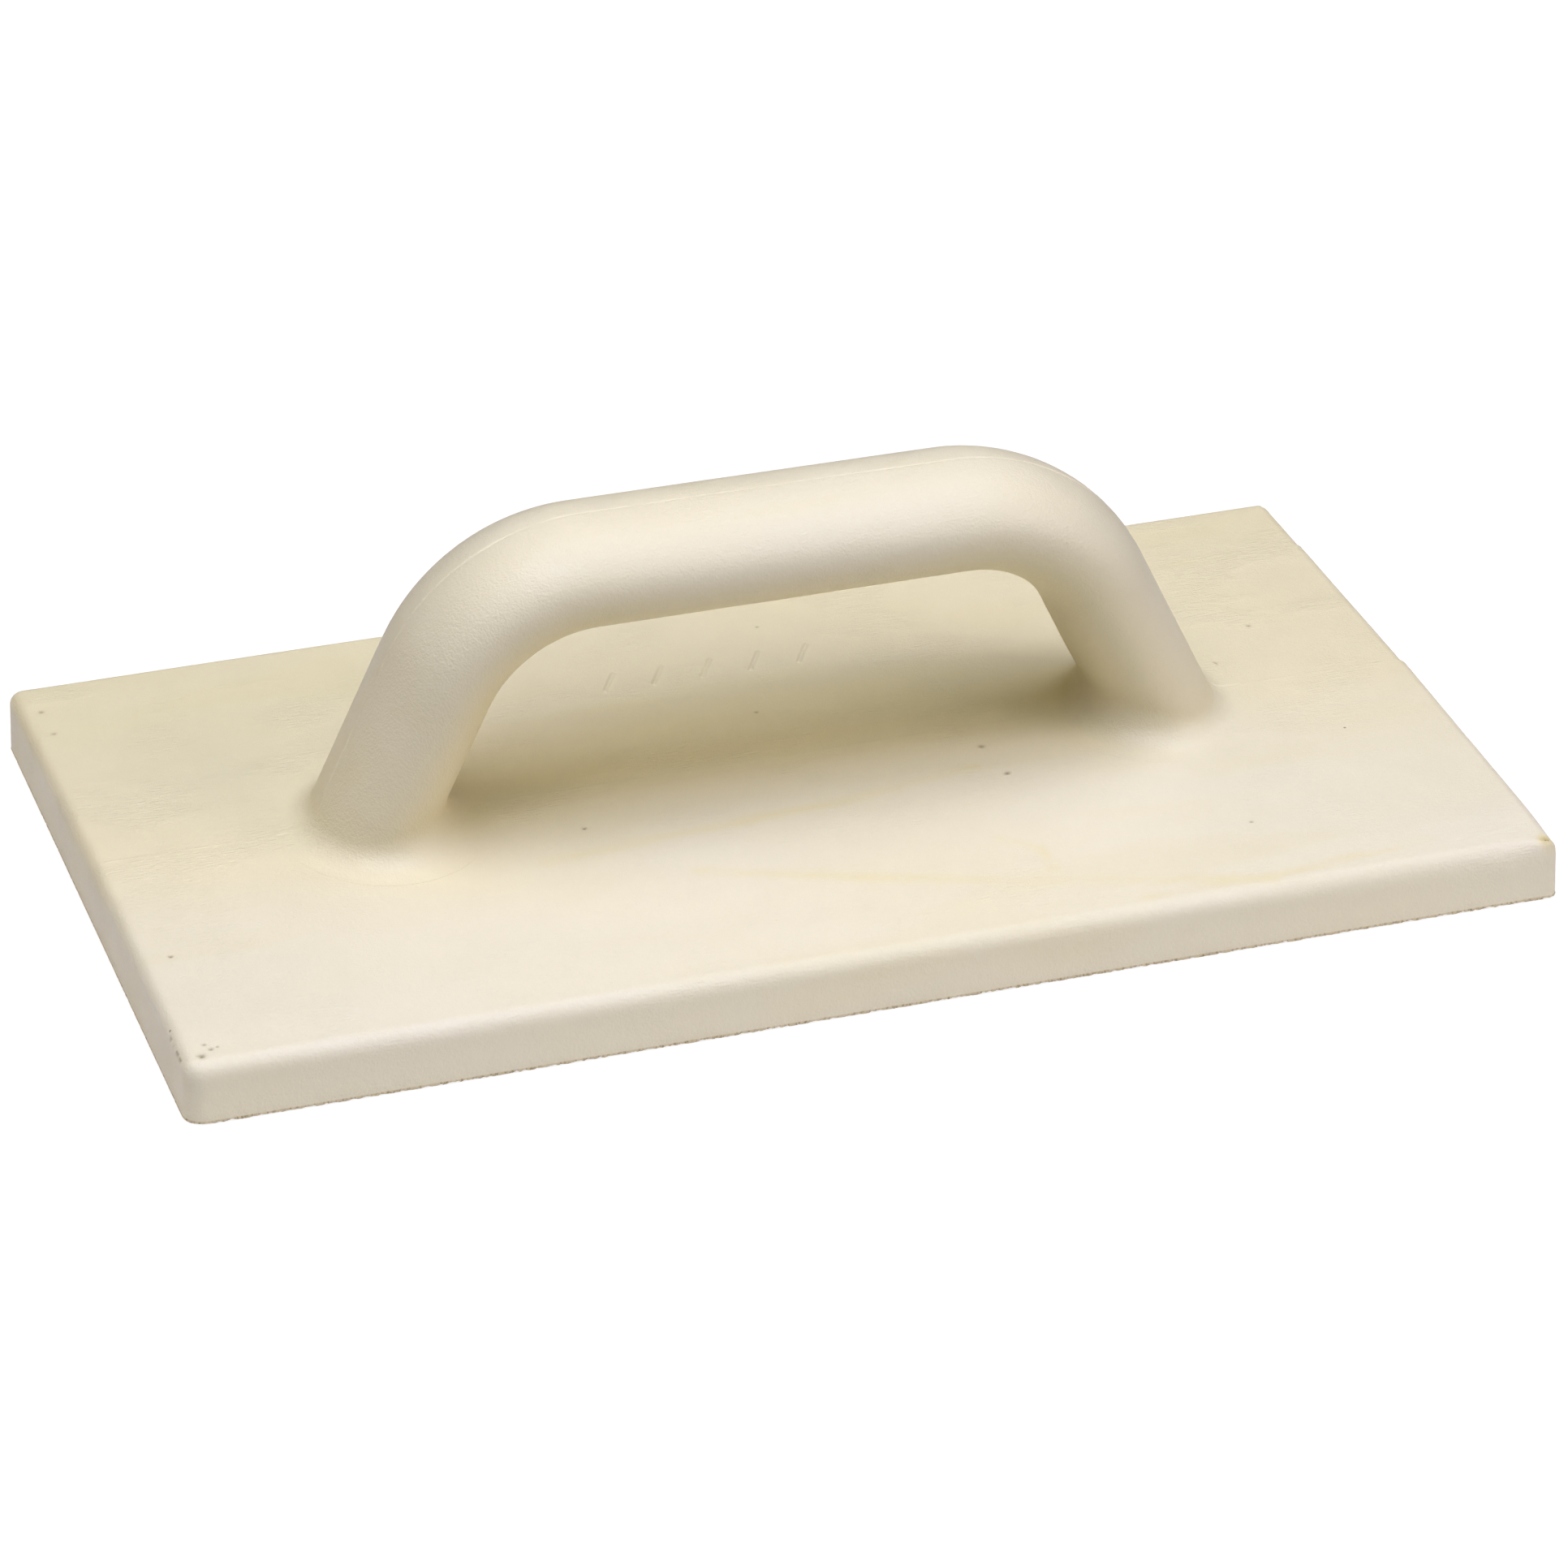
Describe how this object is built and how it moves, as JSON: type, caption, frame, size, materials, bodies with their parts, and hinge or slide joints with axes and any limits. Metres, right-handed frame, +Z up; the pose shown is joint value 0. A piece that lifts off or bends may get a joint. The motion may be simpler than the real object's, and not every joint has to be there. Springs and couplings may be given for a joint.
{
  "type": "hand float",
  "caption": "Moulded polyurethane hand float: a flat board with a rough rubbing face and a bow handle, for smoothing plaster, render and fresh concrete.",
  "frame": {"origin": "centre of the rubbing face, which is the underside of the working sole", "axes": "+X along the board's length and the handle, +Y across the board, +Z up from the rubbing face to the grip"},
  "size_m": [0.32, 0.18, 0.0862],
  "materials": {
    "board_moulding": "satin cream polyurethane skin with a fine pebbled grain",
    "sole_foam": "open-celled polyurethane, rough and unskinned",
    "handle_moulding": "satin cream polyurethane skin with fine flow wrinkles along the grip"
  },
  "bodies": {
    "root": {"board": "board_moulding", "working_sole": "sole_foam", "handle": "handle_moulding"}
  },
  "joints": []
}
